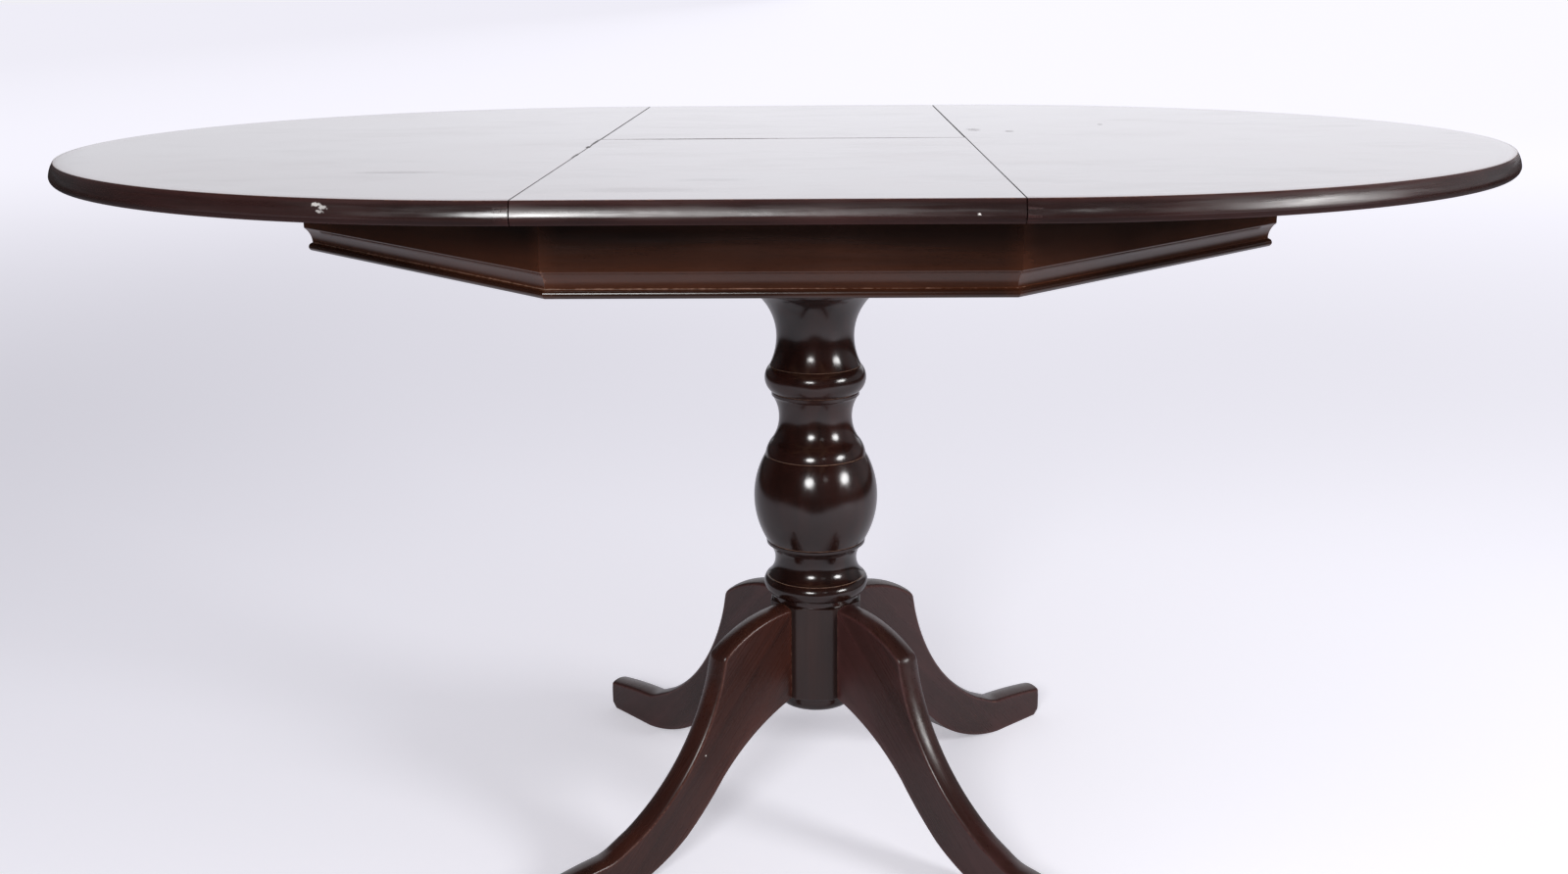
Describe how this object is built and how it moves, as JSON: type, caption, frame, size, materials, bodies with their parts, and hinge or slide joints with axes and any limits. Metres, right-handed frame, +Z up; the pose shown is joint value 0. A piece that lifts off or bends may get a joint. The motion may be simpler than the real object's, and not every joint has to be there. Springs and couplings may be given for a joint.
{
  "type": "extending_dining_table",
  "caption": "Extending pedestal dining table in dark polished mahogany, with half-round sliding tops, a folding leaf, an eight-sided frame, a turned column and sabre legs",
  "frame": {"origin": "On the floor, at the middle of the whole table's outline as seen from above, with the leaf in place.", "axes": "+X runs along the extended table's length, to the right as the picture shows it. +Y runs away from the viewer. +Z is up."},
  "size_m": [1.4634, 1.077, 0.774],
  "materials": {
    "polished_top": "dark red-brown mahogany under a glossy polish, lightly scratched",
    "polished_frame": "dark red-brown mahogany, glossy polish worn at the moulding",
    "polished_base": "near-black brown mahogany, satin to glossy polish, worn pale on the sharp edges",
    "plain_wood": "plain hardwood, planed and left bare",
    "brass_hinges": "turned brass, tarnished"
  },
  "bodies": {
    "base": {"column": "polished_base", "foot_disc": "polished_base", "leg_rear_right": "polished_base", "leg_rear_left": "polished_base", "leg_front_left": "polished_base", "leg_front_right": "polished_base", "frame_side_right": "polished_frame", "frame_side_rear_right": "polished_frame", "frame_side_rear": "polished_frame", "frame_side_rear_left": "polished_frame", "frame_side_left": "polished_frame", "frame_side_front_left": "polished_frame", "frame_side_front": "polished_frame", "frame_side_front_right": "polished_frame", "corner_block_1": "plain_wood", "corner_block_2": "plain_wood", "corner_block_3": "plain_wood", "corner_block_4": "plain_wood", "corner_block_5": "plain_wood", "corner_block_6": "plain_wood", "corner_block_7": "plain_wood", "corner_block_8": "plain_wood", "fixed_slide_front": "plain_wood", "fixed_slide_rear": "plain_wood", "bearer_left": "plain_wood", "bearer_right": "plain_wood", "top_block": "plain_wood"},
    "left_top": {"left_half_top": "polished_top", "left_front_runner": "plain_wood", "left_rear_runner": "plain_wood"},
    "right_top": {"right_half_top": "polished_top", "right_front_runner": "plain_wood", "right_rear_runner": "plain_wood"},
    "leaf_rear": {"leaf_rear_half": "polished_top", "leaf_rear_half_hinge_barrels": "brass_hinges"},
    "leaf_front": {"leaf_front_half": "polished_top", "leaf_front_half_hinge_barrels": "brass_hinges"}
  },
  "joints": [
    {"name": "left_top_slide", "type": "slide", "parent": "base", "child": "left_top", "axis": [-1, 0, 0], "range_m": [0, 0.035]},
    {"name": "right_top_slide", "type": "slide", "parent": "base", "child": "right_top", "axis": [1, 0, 0], "range_m": [0, 0.035]},
    {"name": "leaf_lift", "type": "slide", "parent": "base", "child": "leaf_rear", "axis": [0, 0, 1], "range_m": [0, 0.12]},
    {"name": "leaf_fold", "type": "hinge", "parent": "leaf_rear", "child": "leaf_front", "pos_m": [0, 0, 0.77415], "axis": [-1, 0, 0], "range_deg": [0, 180]}
  ]
}
